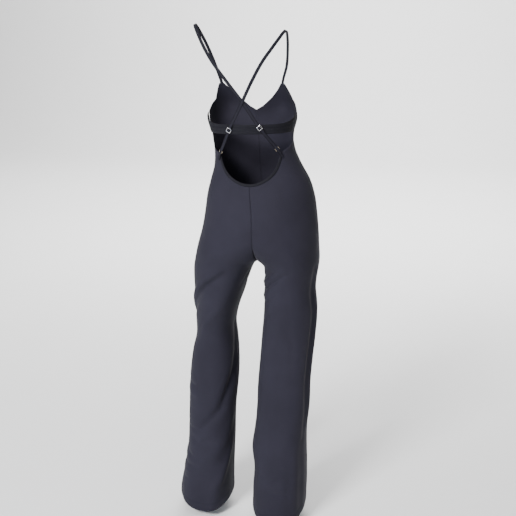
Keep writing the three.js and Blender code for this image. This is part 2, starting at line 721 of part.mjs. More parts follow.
for (const side of ["left", "right"]) {
  const line = fittingLine(side);

  // Slider: a frame with a middle bar; the strap passes under its ends and over the bar.
  const sliderPlate = plate(SLIDER.width, SLIDER.height, SLIDER.bar, SLIDER.thick, 2);
  const place = (distance, level) => {
    const { point, along, normal, side: across } = line.frameAt(distance);
    point.addScaledVector(normal, level);
    return new THREE.Matrix4().makeBasis(across, along, normal).setPosition(point);
  };
  sliderPlate.applyMatrix4(place(0, LEVEL.slider));
  addPiece("slider_" + side, sliderPlate, steel);

  // Ring: an open rectangle between the strap's fold and the tab.
  const ringPlate = plate(RING.width, RING.height, RING.bar, RING.thick, 1);
  ringPlate.applyMatrix4(place(line.ring, LEVEL.ring));
  addPiece("ring_" + side, ringPlate, steel);

  // Strap: from the slider's middle bar down, round the ring, up through the slider and on over
  // the shoulder to the cup.
  const upper = RUNS[side].map((row) => {
    const turn = THREE.MathUtils.degToRad(row.facing);
    return {
      point: new THREE.Vector3(row.x, row.y, row.z),
      normal: new THREE.Vector3(row.x / 260, Math.cos(turn), Math.sin(turn)).normalize(),
    };
  });
  const reach = CUP_POINT * halfWidth(side, -150);
  for (const height of [-150, -150 - CUP_LAP]) {
    const share = shareAcross(side, "front", reach, height);
    const { point, normal } = onCloth(side, "front", share, height);
    point.addScaledVector(normal, LEVEL.under + 0.3);
    upper.push({ point, normal });
  }
  const curve = new THREE.CatmullRomCurve3(
    [line.at(-13, LEVEL.slider - LAYER).point, ...upper.map(({ point }) => point)],
    false,
    "centripetal",
  );
  const first = line.frameAt(-13).normal;
  const normals = [first, ...upper.map(({ normal }) => normal)];
  const steps = 44;
  const over = [];
  for (let k = 0; k <= steps; k += 1) {
    const t = k / steps;
    const knot = Math.min(Math.floor(t * (normals.length - 1)), normals.length - 2);
    const part = t * (normals.length - 1) - knot;
    const normal = normals[knot].clone().lerp(normals[knot + 1], part).normalize();
    over.push({ point: curve.getPoint(t), side: normal.cross(curve.getTangent(t)) });
  }
  const barDistance = line.ring - (RING.height - RING.bar) / 2;
  const wave = SLIDER.thick / 2 + SEAM_GAP + STRAP.thick / 2;
  const half = (SLIDER.height - SLIDER.bar) / 2;
  const through = [
    [barDistance - 9, (LEVEL.under + LEVEL.ring) / 2 + LAYER],
    [barDistance / 2, LEVEL.under + LAYER + 0.6],
    [half + 2.4, LEVEL.slider - wave],
    [half - 1.2, LEVEL.slider - wave],
    [1.6, LEVEL.slider + wave],
    [-1.6, LEVEL.slider + wave],
    [1.2 - half, LEVEL.slider - wave],
    [-half - 2, LEVEL.slider - wave],
  ];
  const path = [
    line.at(0.5, LEVEL.under + 0.4),
    line.at(half + 2, LEVEL.under),
    line.at(barDistance / 2, LEVEL.under + 0.3),
    line.at(barDistance - 9, (LEVEL.under + LEVEL.ring) / 2),
    ...turnRound(line, barDistance, LEVEL.ring, TURN, 1),
    ...through.map(([distance, level]) => line.at(distance, level)),
    ...over.map(({ point, side: across }) => ({ point, side: across.negate() })),
  ];
  addPiece("strap_" + side, strip(path, STRAP.width, STRAP.thick), knit);

  // Tab: a short strip folded round the ring's lower bar and sewn onto the back panel.
  const radius = RING.bar / 2 + 2 * SEAM_GAP + TAB.thick / 2;
  const barAt = line.ring + (RING.height - RING.bar) / 2;
  const outer = LEVEL.tab + TAB.thick + SEAM_GAP;
  const tabPath = [
    line.at(line.end, LEVEL.tab),
    line.at((barAt + line.end) / 2 + 3, LEVEL.tab),
    ...turnRound(line, barAt, LEVEL.ring, radius, -1),
    line.at((barAt + line.end) / 2 + 3, outer),
    line.at(line.end, outer),
  ];
  addPiece("tab_" + side, strip(tabPath, TAB.width, TAB.thick), knit);
}

export default suit;
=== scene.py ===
import math

import bpy
import numpy as np
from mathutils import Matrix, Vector


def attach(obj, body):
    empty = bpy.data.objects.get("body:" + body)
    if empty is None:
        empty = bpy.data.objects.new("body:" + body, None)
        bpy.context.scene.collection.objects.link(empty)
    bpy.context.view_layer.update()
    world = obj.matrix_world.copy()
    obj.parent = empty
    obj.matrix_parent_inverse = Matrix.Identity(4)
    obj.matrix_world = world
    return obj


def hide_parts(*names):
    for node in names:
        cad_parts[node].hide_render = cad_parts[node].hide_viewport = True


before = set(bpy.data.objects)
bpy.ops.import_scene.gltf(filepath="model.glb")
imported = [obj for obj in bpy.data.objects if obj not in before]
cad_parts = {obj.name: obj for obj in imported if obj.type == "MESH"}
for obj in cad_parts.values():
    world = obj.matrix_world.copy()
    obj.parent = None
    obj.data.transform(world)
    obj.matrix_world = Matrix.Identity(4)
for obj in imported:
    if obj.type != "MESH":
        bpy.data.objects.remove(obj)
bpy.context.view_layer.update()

# Studio. The camera stands behind, a little towards -X, and looks down by 15 degrees. The floor and
# the light are plain and pale. The key light is high and towards +X, so the faces that are turned
# to -X are darker.
CAMERA = {"place": (-0.4517, 2.2848, -0.008), "turn": 10, "drop": 15, "lens": 59.3}
FLOOR = -1.432

camera = bpy.data.objects.new("camera", bpy.data.cameras.new("camera"))
bpy.context.scene.collection.objects.link(camera)
camera.data.lens = CAMERA["lens"]
camera.data.sensor_width = 36
camera.location = CAMERA["place"]
turn = math.radians(CAMERA["turn"])
drop = math.radians(CAMERA["drop"])
looking = Vector((
    math.sin(turn) * math.cos(drop),
    -math.cos(turn) * math.cos(drop),
    -math.sin(drop),
))
camera.rotation_euler = looking.to_track_quat("-Z", "Y").to_euler()
bpy.context.scene.camera = camera


class Socket:
    """One output of a shader, with arithmetic that adds the Math nodes."""

    def __init__(self, shader, link):
        self.shader = shader
        self.link = link

    def math(self, operation, *values):
        return self.shader.node(
            "ShaderNodeMath", {"operation": operation}, {i: v for i, v in enumerate(values)}
        )

    def __add__(self, other):
        return self.math("ADD", self, other)

    def __sub__(self, other):
        return self.math("SUBTRACT", self, other)

    def __mul__(self, other):
        return self.math("MULTIPLY", self, other)

    def __rsub__(self, other):
        return self.math("SUBTRACT", other, self)

    __radd__ = __add__
    __rmul__ = __mul__


class Shader:
    """A material made of nodes, which ends in one Principled BSDF."""

    def __init__(self, name, **fixed):
        self.material = bpy.data.materials.new(name)
        self.material.use_nodes = True
        self.tree = self.material.node_tree
        self.surface = self.tree.nodes["Principled BSDF"]
        for socket, value in fixed.items():
            self.surface.inputs[socket.replace("_", " ")].default_value = value

    def node(self, kind, settings=None, values=None, output=0):
        made = self.tree.nodes.new(kind)
        for key, value in (settings or {}).items():
            setattr(made, key, value)
        for key, value in (values or {}).items():
            if isinstance(value, Socket):
                self.tree.links.new(value.link, made.inputs[key])
            else:
                made.inputs[key].default_value = value
        return Socket(self, made.outputs[output])

    def feed(self, socket, value):
        self.tree.links.new(value.link, self.surface.inputs[socket])

    def attribute(self, name):
        return self.node("ShaderNodeAttribute", {"attribute_name": name}, output="Fac")

    def place(self):
        return self.node("ShaderNodeTexCoord", output="Object")

    def noise(self, scale, detail=2, stretch=None):
        where = self.place()
        if stretch:
            where = self.node("ShaderNodeMapping", {}, {"Vector": where, "Scale": stretch})
        return self.node(
            "ShaderNodeTexNoise", {}, {"Vector": where, "Scale": scale, "Detail": detail}
        )

    def range(self, value, low, high, to_low=0.0, to_high=1.0):
        values = {"Value": value, "From Min": low, "From Max": high}
        values.update({"To Min": to_low, "To Max": to_high})
        return self.node("ShaderNodeMapRange", {"interpolation_type": "SMOOTHSTEP"}, values)

    def blend(self, factor, first, second):
        values = {0: factor, 6: first, 7: second}
        return self.node("ShaderNodeMix", {"data_type": "RGBA"}, values, output=2)

    def bump(self, height, depth, strength=1.0):
        values = {"Height": height, "Distance": depth, "Strength": strength}
        self.feed("Normal", self.node("ShaderNodeBump", {}, values))


floor_shader = Shader("pale_floor", Roughness=0.9)
floor_shader.surface.inputs["Specular IOR Level"].default_value = 0.1
floor_shader.feed(
    "Base Color",
    floor_shader.blend(floor_shader.noise(3), (0.86, 0.86, 0.86, 1), (0.88, 0.88, 0.88, 1)),
)


def make_piece(name, points, faces, shader, marks=None):
    mesh = bpy.data.meshes.new(name)
    mesh.from_pydata([tuple(p) for p in points], [], faces)
    mesh.polygons.foreach_set("use_smooth", [True] * len(mesh.polygons))
    for mark, values in (marks or {}).items():
        layer = mesh.attributes.new(mark, "FLOAT", "POINT")
        layer.data.foreach_set("value", np.asarray(values, float).ravel())
    mesh.materials.append(shader.material)
    mesh.update()
    piece = bpy.data.objects.new(name, mesh)
    bpy.context.scene.collection.objects.link(piece)
    return piece


SWEEP = {"half_width": 9.0, "front": 9.0, "back": -7.0, "rise": 7.0, "bend": 2.0}
arc = [
    (SWEEP["back"] - SWEEP["bend"] * math.sin(a), FLOOR + SWEEP["bend"] * (1 - math.cos(a)))
    for a in np.linspace(0, math.pi / 2, 13)
]
profile = [(SWEEP["front"], FLOOR), *arc, (SWEEP["back"] - SWEEP["bend"], FLOOR + SWEEP["rise"])]
points = [(x, y, z) for y, z in profile for x in (-SWEEP["half_width"], SWEEP["half_width"])]
faces = [(2 * k, 2 * k + 1, 2 * k + 3, 2 * k + 2) for k in range(len(profile) - 1)]
floor = make_piece("floor", points, faces, floor_shader)

world = bpy.data.worlds.new("pale_room")
world.use_nodes = True
world.node_tree.nodes["Background"].inputs["Color"].default_value = (1, 1, 1, 1)
world.node_tree.nodes["Background"].inputs["Strength"].default_value = 0.28
bpy.context.scene.world = world

WHITE = (1, 1, 1)
LIGHTS = [
    {"name": "key_box", "place": (1.35, 3.2, 1.4), "aim": (0, 0, -0.7), "size": 1.1, "power": 235,
     "colour": WHITE},
    {"name": "front_box", "place": (0.6, -3.2, 1.2), "aim": (0, 0, -0.7), "size": 2.0, "power": 40,
     "colour": WHITE},
    {"name": "floor_box", "place": (0, -4.0, 3.6), "aim": (0, -7.5, -1), "size": 4.0, "power": 900,
     "colour": WHITE},
    {"name": "near_box", "place": (0, 2.5, 4.5), "aim": (0, 0.5, -1.4), "size": 3.0, "power": 90,
     "colour": WHITE},
    {"name": "low_box", "place": (1.0, 2.0, -1.1), "aim": (0.05, 0, -1.2), "size": 0.6, "power": 9,
     "colour": (0.45, 0.68, 1.0)},
]
for row in LIGHTS:
    light = bpy.data.lights.new(row["name"], "AREA")
    light.size = row["size"]
    light.energy = row["power"]
    light.color = row["colour"]
    lamp = bpy.data.objects.new(row["name"], light)
    lamp.location = row["place"]
    aim = Vector(row["aim"]) - lamp.location
    lamp.rotation_euler = aim.to_track_quat("-Z", "Y").to_euler()
    bpy.context.scene.collection.objects.link(lamp)

# Leg panels. Four long panels of matt double knit, two in front and two behind, each cut in one
# piece from the hem to the bodice or to the open back. They are joined at the sides, down the
# centres and inside the legs, and they are smooth over the seat and creased at thigh and knee.
CLOTH = 1.2
CROTCH = -628.0
RISE = 80.0
SEAT_BLEND = 110.0
UNDERBUST = -272.0
SEAM_GAP = 0.3
SEAM_LAP = 0.15
PANEL_WIDTH = 235.0
BUST = {"height": -215, "across": 82, "out": 24, "wide": 46, "above": 52, "below": 36}

TORSO_NAMES = "height left middle right back front squareback squarefront tilt".split()
TORSO = np.array([
    [-90, 128, -6, -140, 84, -86, 2.3, 2.6, 0],
    [-150, 98, -17, -132, 94, -94, 2.3, 3, 0],
    [-205, 91, -24, -147, 98, -102, 2.3, 2.9, 0],
    [-240, 88, -28, -154, 97, -103, 2.2, 2.6, -0.012],
    [-272, 79, -31.5, -147, 91, -98, 2.2, 2.3, -0.02],
    [-300, 72, -35, -146, 80, -93, 2.2, 2.2, -0.04],
    [-330, 70, -37.5, -153, 73, -90, 2.2, 2.2, -0.04],
    [-365, 72, -38.5, -171, 75, -91, 2.2, 2.2, -0.02],
    [-400, 81, -40, -192, 86, -95, 2.2, 2.2, -0.01],
    [-440, 91, -45, -206, 101, -99, 2.2, 2.2, 0],
    [-490, 98, -51, -214, 116, -101, 2.2, 2.2, 0],
    [-540, 107, -53, -219, 123, -100, 2.2, 2.2, 0],
    [-590, 120, -54, -221.5, 118, -97, 2.3, 2.3, 0],
    [-628, 128, -56, -223, 108, -94, 2.3, 2.3, 0],
    [-670, 133, -56, -220, 104, -94, 2.3, 2.3, 0],
])
LEG_NAMES = "height outer inner side back front square".split()
LEGS = {
    "left": np.array([
        [-633, 129, -47, 0, 107, -94, 2.3],
        [-645, 131, -38, 0, 105, -94, 2.3],
        [-665, 132, -29, -1, 102, -94, 2.3],
        [-703, 132, -14, -4, 95, -95, 2.3],
        [-758, 131, 4, -11, 80, -98, 2.3],
        [-796, 134, 15.5, -18, 67, -101, 2.3],
        [-833, 134, 22, -25, 56, -105, 2.3],
        [-870, 137, 19, -30, 48, -110, 2.3],
        [-908, 147, 16.5, -33, 45, -113, 2.4],
        [-985, 158, 17, -35, 45, -115, 2.5],
        [-1103, 163, 27, -35, 50, -116, 2.6],
        [-1223, 168, 31, -34, 56, -117, 2.7],
        [-1305, 182, 34.5, -33, 60, -118, 2.7],
        [-1370, 193, 35, -32, 63, -119, 2.6],
        [-1425, 189, 34, -32, 65, -119, 2.6],
    ]),
    "right": np.array([
        [-633, -222.5, -66.5, 1, 107, -93, 2.3],
        [-645, -221.5, -70, 2, 105, -92, 2.3],
        [-663, -218.5, -71, 3, 102, -90, 2.3],
        [-699, -214, -70, 4, 98, -88, 2.4],
        [-769, -219.5, -70.5, 6, 92, -84, 2.5],
        [-842, -215, -65, 7, 86, -80, 2.6],
        [-916, -208, -59.5, 7, 84, -79, 2.7],
        [-991, -203, -53.5, 6, 84, -80, 2.8],
        [-1067, -201.5, -50.5, 5, 86, -83, 2.8],
        [-1144, -194.5, -44.5, 5, 89, -86, 2.8],
        [-1200, -194.5, -38, 4, 92, -89, 2.8],
        [-1255, -196, -43.5, 4, 95, -92, 2.8],
        [-1320, -196.5, -39.5, 4, 98, -95, 2.7],
        [-1383, -194.5, -38, 3, 101, -97, 2.6],
        [-1430, -193, -38, 3, 103, -98, 2.6],
    ]),
}
HEMS = {
    "left": {"outer": -1374, "inner": -1388, "dip": 31},
    "right": {"outer": -1386, "inner": -1386, "dip": 33},
}
BACK_EDGE = [
    (0, -404), (12, -403.2), (22, -400.8), (35, -395.3), (46, -388.8), (56, -381), (64, -372.5),
    (71, -361), (76, -349), (79, -339), (80.5, -331), (86, -324.5), (92, -320), (98, -316),
    (104, -311.5), (108, -306), (110.5, -298),
]
SCOOP_ROWS = 11


def smoothstep(value, low, high):
    t = np.clip((value - low) / (high - low), 0, 1)
    return t * t * (3 - 2 * t)


def column_at(rows, column, height):
    """Smooth value of a column of a table whose first column, height, goes down."""
    h = rows[:, 0]
    v = rows[:, column]
    slope = np.diff(v) / np.diff(h)
    span = np.diff(h)
    tangent = np.empty(len(h))
    tangent[0] = slope[0]
    tangent[-1] = slope[-1]
    tangent[1:-1] = (slope[1:] * span[:-1] + slope[:-1] * span[1:]) / (span[:-1] + span[1:])
    k = np.clip(np.searchsorted(-h, -np.asarray(height, float), side="right") - 1, 0, len(h) - 2)
    step = span[k]
    t = np.clip((height - h[k]) / step, 0, 1)
    return (
        (2 * t**3 - 3 * t**2 + 1) * v[k]
        + (t**3 - 2 * t**2 + t) * step * tangent[k]
        + (3 * t**2 - 2 * t**3) * v[k + 1]
        + (t**3 - t**2) * step * tangent[k + 1]
    )


def torso(name, height):
    return column_at(TORSO, TORSO_NAMES.index(name), height)


def joined_table(side, name_above, name_below, seam=False):
    upper = TORSO[TORSO[:, 0] >= CROTCH]
    above = np.zeros(len(upper)) if seam else upper[:, TORSO_NAMES.index(name_above)]
    lower = LEGS[side][:, [0, LEG_NAMES.index(name_below)]]
    return np.vstack([np.column_stack([upper[:, 0], above]), lower])


LEVELS = np.arange(-90, -1432, -2.0)
SHARES = np.linspace(0, 1, 241)
OUTLINE_STEPS = 60


SMOOTHING = {"rounds": 24, "fades_from": 0.86}


def form_of(side, face):
    """X and Y of one panel's plain form, for each of LEVELS and SHARES."""
    height = LEVELS[:, None]
    outer = column_at(joined_table(side, side, "outer"), 1, height)
    seam = column_at(joined_table(side, "", "side", seam=True), 1, height)
    depth = column_at(joined_table(side, face, face), 1, height)
    power = 2 / column_at(joined_table(side, "square" + face, "square"), 1, height)
    above = height - CROTCH
    joined = smoothstep(above, 0, SEAT_BLEND)
    below_rows = np.vstack([[CROTCH, -56], LEGS[side][:, [0, LEG_NAMES.index("inner")]]])
    inner = np.where(above > 0, torso("middle", height), column_at(below_rows, 1, height))
    crest = (outer + inner) / 2 * (1 - joined) + inner * joined
    rise = np.sqrt(1 - (1 - np.clip(above / RISE, 0, 1)) ** 2)
    inner_seam = np.where(above > 0, seam + (torso(face, height) - seam) * rise, seam)
    turn = np.linspace(0, math.pi / 2, OUTLINE_STEPS + 1)[None, :]
    cos = np.clip(np.cos(turn), 0, 1)
    sin = np.sin(turn)
    first = (crest + (outer - crest) * cos**power, seam + (depth - seam) * sin**power)
    share = np.linspace(0, 1, OUTLINE_STEPS + 1)[None, :]
    sideways = sin**power * (1 - joined) + share * joined
    inward = (1 - cos**power) * (1 - joined) + (1 - np.cos(math.pi * share)) / 2 * joined
    second = (crest + (inner - crest) * sideways, depth + (inner_seam - depth) * inward)
    x = np.hstack([first[0], second[0][:, 1:]])
    y = np.hstack([first[1], second[1][:, 1:]])
    length = np.cumsum(np.hypot(np.diff(x, axis=1), np.diff(y, axis=1)), axis=1)
    length = np.hstack([np.zeros((len(LEVELS), 1)), length])
    out_x = np.empty((len(LEVELS), len(SHARES)))
    out_y = np.empty_like(out_x)
    for k in range(len(LEVELS)):
        out_x[k] = np.interp(SHARES * length[k, -1], length[k], x[k])
        out_y[k] = np.interp(SHARES * length[k, -1], length[k], y[k])
    keep = smoothstep(SHARES, SMOOTHING["fades_from"], 1)[None, :]
    for values in (out_x, out_y):
        soft = values.copy()
        for _ in range(SMOOTHING["rounds"]):
            soft[1:-1] = (soft[:-2] + 2 * soft[1:-1] + soft[2:]) / 4
        values += (soft - values) * (1 - keep)
    return out_x, out_y


FORMS = {(s, f): form_of(s, f) for s in ("left", "right") for f in ("back", "front")}


def on_form(side, face, share, height):
    """Points of the plain form at arrays of share and height, in millimetres."""
    share, height = np.broadcast_arrays(np.asarray(share, float), np.asarray(height, float))
    row = np.clip((LEVELS[0] - height) / 2.0, 0, len(LEVELS) - 1.001)
    col = np.clip(share * (len(SHARES) - 1), 0, len(SHARES) - 1.001)
    i = row.astype(int)
    j = col.astype(int)
    a = row - i
    b = col - j

    def read(values):
        low = values[i, j] * (1 - b) + values[i, j + 1] * b
        high = values[i + 1, j] * (1 - b) + values[i + 1, j + 1] * b
        return low * (1 - a) + high * a

    x, y = (read(values) for values in FORMS[side, face])
    across = x - torso("middle", np.maximum(height, CROTCH))
    if face == "front":
        away = np.where(height > BUST["height"], BUST["above"], BUST["below"])
        beside = (np.abs(across) - BUST["across"]) / BUST["wide"]
        y = y - BUST["out"] * np.exp(-(beside**2) - ((height - BUST["height"]) / away) ** 2)
    tilt = np.where(height > CROTCH, torso("tilt", height), 0)
    return np.stack([x, y, height + tilt * across], axis=-1)


# A crease runs along a path of (round, height): round is 0 at the side seam, 1 at the back of the
# inner seam and -1 at its front. out is the ridge's height, negative for a trough, and fade is the
# share of the path over which it comes and goes.
CREASES = {
    "left": [
        {"out": 5, "width": 10, "path": [(0.04, -796), (0.26, -716), (0.5, -640)]},
        {"out": -5, "width": 9, "path": [(0.1, -806), (0.33, -728), (0.56, -655)]},
        {"out": 4, "width": 20, "path": [(0.7, -650), (0.56, -765), (0.22, -891)]},
        {"out": -9, "width": 15,
         "path": [(0.97, -836), (0.86, -965), (0.66, -1087), (0.34, -1176)]},
        {"out": 6, "width": 22, "path": [(1, -960), (0.92, -1080), (0.72, -1190), (0.5, -1250)]},
        {"out": 8, "width": 14, "path": [(0.98, -1120), (0.8, -1230), (0.66, -1330), (0.6, -1440)]},
        {"out": -5, "width": 13, "path": [(-0.9, -660), (-0.62, -720), (-0.35, -800)]},
        {"out": 4, "width": 16, "path": [(-0.96, -700), (-0.7, -790), (-0.5, -860)]},
        {"out": -7, "width": 17, "path": [(-0.3, -930), (-0.34, -1100), (-0.28, -1300)]},
        {"out": 6, "width": 18, "path": [(-0.62, -980), (-0.66, -1180), (-0.64, -1420)]},
    ],
    "right": [
        {"out": -3.5, "width": 7, "path": [(0.92, -680), (0.78, -664), (0.6, -640)]},
        {"out": -3.5, "width": 8, "path": [(0.9, -716), (0.72, -690), (0.5, -645)]},
        {"out": -6, "width": 10,
         "path": [(0.17, -640), (0.16, -800), (0.17, -1000), (0.16, -1150)]},
        {"out": 4, "width": 9, "path": [(0.08, -650), (0.07, -800), (0.08, -1000), (0.07, -1120)]},
        {"out": -3, "width": 12, "path": [(0.2, -1160), (0.21, -1300), (0.2, -1400)]},
        {"out": -5, "width": 13, "path": [(-0.9, -655), (-0.64, -700), (-0.42, -770)]},
        {"out": -6, "width": 18, "path": [(-0.36, -900), (-0.34, -1100), (-0.38, -1330)]},
        {"out": 6, "width": 20, "path": [(-0.64, -860), (-0.66, -1100), (-0.62, -1420)]},
    ],
}
# Smaller creases, written in the same way.
FINE_CREASES = {
    "left": [
        {"out": -3.2, "width": 4.5, "path": [(0.06, -806), (0.24, -742), (0.42, -688), (0.5, -668)]},
        {"out": 2.6, "width": 6, "path": [(0.1, -778), (0.28, -716), (0.44, -668), (0.54, -645)]},
        {"out": -1.6, "width": 6, "path": [(0.3, -850), (0.44, -790), (0.56, -745)]},
        {"out": -1.4, "width": 9, "path": [(0.34, -700), (0.5, -676), (0.62, -660)]},
        {"out": -2.6, "width": 8, "path": [(0.12, -1006), (0.3, -1018), (0.48, -1026)]},
        {"out": 1.6, "width": 8, "path": [(0.1, -1032), (0.3, -1042), (0.44, -1052)]},
        {"out": -1.6, "width": 6, "path": [(0.14, -1140), (0.26, -1150), (0.4, -1152)]},
        {"out": -2.6, "width": 5, "path": [(0.05, -1196), (0.18, -1226), (0.36, -1240)]},
        {"out": 2.0, "width": 6, "path": [(0.04, -1222), (0.2, -1246), (0.38, -1256)]},
        {"out": -2.4, "width": 5, "path": [(0.06, -1252), (0.24, -1270), (0.46, -1268)]},
        {"out": 1.6, "width": 5, "path": [(0.05, -1276), (0.24, -1292), (0.38, -1290)]},
        {"out": -1.8, "width": 5, "path": [(0.06, -1302), (0.2, -1316), (0.38, -1312)]},
        {"out": -2.4, "width": 12, "path": [(0.56, -1180), (0.42, -1192), (0.3, -1188)]},
        {"out": 1.5, "width": 11, "path": [(0.34, -1290), (0.36, -1340), (0.37, -1390)]},
        {"out": -1.6, "width": 9, "path": [(0.2, -1330), (0.22, -1370), (0.24, -1400)]},
        {"out": -1.8, "width": 6, "path": [(-0.2, -1230), (-0.4, -1246), (-0.6, -1240)]},
        {"out": 1.5, "width": 6, "path": [(-0.18, -1252), (-0.42, -1268), (-0.62, -1262)]},
        {"out": -2.2, "width": 5, "path": [(-0.98, -690), (-0.8, -720), (-0.6, -770)]},
        {"out": -1.8, "width": 6, "path": [(-0.3, -1000), (-0.46, -1018), (-0.62, -1012)]},
        {"out": -1.6, "width": 6, "path": [(0.98, -648), (0.88, -668), (0.8, -700)]},
    ],
    "right": [
        {"out": -3.6, "width": 4, "path": [(0.97, -668), (0.86, -671), (0.74, -656), (0.66, -646)]},
        {"out": 2.4, "width": 4.5, "path": [(0.97, -684), (0.86, -684), (0.72, -668)]},
        {"out": -3.4, "width": 4.5, "path": [(0.97, -706), (0.82, -702), (0.66, -676), (0.54, -652)]},
        {"out": 1.8, "width": 6, "path": [(0.96, -726), (0.8, -722), (0.62, -696)]},
        {"out": -2.0, "width": 6, "path": [(0.92, -744), (0.76, -738), (0.6, -712)]},
        {"out": -1.4, "width": 7, "path": [(0.86, -786), (0.7, -772), (0.56, -746)]},
        {"out": -1.6, "width": 9, "path": [(0.5, -790), (0.42, -860), (0.4, -940)]},
        {"out": 1.8, "width": 9, "path": [(0.28, -1160), (0.3, -1290), (0.29, -1400)]},
        {"out": -2.0, "width": 7, "path": [(0.36, -1170), (0.38, -1290), (0.37, -1390)]},
        {"out": -1.8, "width": 6, "path": [(0.66, -1262), (0.5, -1276), (0.36, -1268)]},
        {"out": 1.4, "width": 6, "path": [(0.62, -1284), (0.46, -1298), (0.34, -1290)]},
        {"out": -1.5, "width": 6, "path": [(0.6, -1308), (0.44, -1320), (0.32, -1312)]},
        {"out": -1.6, "width": 9, "path": [(0.76, -1150), (0.78, -1270), (0.76, -1390)]},
        {"out": 2.2, "width": 14, "path": [(0.94, -1120), (0.92, -1180), (0.94, -1240)]},
        {"out": -2.0, "width": 5, "path": [(-0.97, -680), (-0.8, -690), (-0.6, -730)]},
        {"out": 1.6, "width": 6, "path": [(-0.95, -706), (-0.76, -720), (-0.6, -756)]},
        {"out": -1.5, "width": 7, "path": [(-0.6, -1270), (-0.44, -1284), (-0.3, -1276)]},
    ],
}


def crease_height(side, turned, height, rows):
    total = np.zeros(np.broadcast(turned, height).shape)
    for row in rows[side]:
        nearest = np.full(total.shape, np.inf)
        strength = np.zeros(total.shape)
        spans = len(row["path"]) - 1
        for k in range(spans):
            (r0, h0), (r1, h1) = row["path"][k], row["path"][k + 1]
            dx = (r1 - r0) * PANEL_WIDTH
            dy = h1 - h0
            turns = np.round((turned - (r0 + r1) / 2) / 2)
            px = (turned - 2 * turns - r0) * PANEL_WIDTH
            py = height - h0
            t = np.clip((px * dx + py * dy) / (dx * dx + dy * dy), 0, 1)
            away = np.hypot(px - t * dx, py - t * dy)
            closer = away < nearest
            nearest = np.where(closer, away, nearest)
            fresh = np.sin(math.pi * (0.12 + 0.76 * (k + t) / spans))
            strength = np.where(closer, fresh, strength)
        total += row["out"] * strength * np.exp(-((nearest / row["width"]) ** 2))
    ends = np.where(height > CROTCH, smoothstep(1 - np.abs(turned), 0, 0.12), 1)
    return total * ends


def turn_of(side, face):
    return (1 if side == "left" else -1) * (1 if face == "back" else -1)


def normals_of(grid, turned):
    along = np.gradient(grid, axis=0)
    up = np.gradient(grid, axis=1)
    normal = np.cross(along, up) * turned
    return normal / np.linalg.norm(normal, axis=-1, keepdims=True)


def cloth_grid(side, face, share, height, extra=0.0):
    """The cloth's outer face over arrays of share and height, creased, and moved out by extra."""
    turned = turn_of(side, face)
    plain = on_form(side, face, share, height)
    nudge = 0.002
    low = np.clip(share - nudge, 0, 1)
    high = np.clip(share + nudge, 0, 1)
    along = on_form(side, face, high, height) - on_form(side, face, low, height)
    up = on_form(side, face, share, height + 2) - on_form(side, face, share, height - 2)
    normal = np.cross(along, up) * turned
    normal /= np.linalg.norm(normal, axis=-1, keepdims=True)
    placed = share if face == "back" else -share
    out = crease_height(side, placed, height, CREASES)
    out = out + crease_height(side, placed, height, FINE_CREASES) + extra
    return plain + normal * out[..., None]


def shell(name, grid, normals, thick, shader, turned, marks=None):
    """A thin closed shell from a grid of outer points, in millimetres."""
    grid = grid.copy()
    for edge, beside in ((0, 1), (-1, -2)):
        step = grid[edge] - grid[beside]
        grid[edge] += step / np.linalg.norm(step, axis=-1, keepdims=True) * SEAM_LAP
    columns, rows = grid.shape[:2]
    outer = grid.reshape(-1, 3)
    inner = (grid - normals * thick).reshape(-1, 3)
    index = np.arange(columns * rows).reshape(columns, rows)
    below = index + columns * rows
    faces = []

    def quads(a, b, c, d):
        quad = np.stack([a, b, c, d], axis=-1).reshape(-1, 4)
        faces.append(quad if turned > 0 else quad[:, ::-1])

    quads(index[:-1, :-1], index[1:, :-1], index[1:, 1:], index[:-1, 1:])
    quads(below[:-1, :-1], below[:-1, 1:], below[1:, 1:], below[1:, :-1])
    quads(index[:-1, 0], below[:-1, 0], below[1:, 0], index[1:, 0])
    quads(index[:-1, -1], index[1:, -1], below[1:, -1], below[:-1, -1])
    quads(index[0, :-1], index[0, 1:], below[0, 1:], below[0, :-1])
    quads(index[-1, :-1], below[-1, :-1], below[-1, 1:], index[-1, 1:])
    points = np.vstack([outer, inner]) / 1000
    doubled = {k: np.concatenate([v.ravel(), v.ravel()]) for k, v in (marks or {}).items()}
    piece = make_piece(name, points, np.vstack(faces).tolist(), shader, marks=doubled)
    walls = len(faces[0]) + len(faces[1])
    soft = np.arange(len(piece.data.polygons)) < walls
    piece.data.polygons.foreach_set("use_smooth", soft)
    return piece


def share_across(side, face, across, height):
    """Share of the panel's width at a distance from the centre line."""
    middle = float(torso("middle", np.array(height)))
    x = on_form(side, face, SHARES, np.full(len(SHARES), height))[:, 0]
    away = np.abs(x - middle)
    return float(np.interp(-min(across, away[0]), -away, SHARES))


def half_width(side, height):
    x = on_form(side, "back", np.array([0.0]), np.array([float(height)]))[0, 0]
    return abs(x - float(torso("middle", np.array(float(height)))))


def edge_on(side, face, rows):
    made = [(share_across(side, face, across, height), height) for across, height in rows]
    return np.array(made)


def edge_height(edge, share):
    order = np.argsort(edge[:, 0], kind="stable")
    return np.interp(share, edge[order, 0], edge[order, 1])


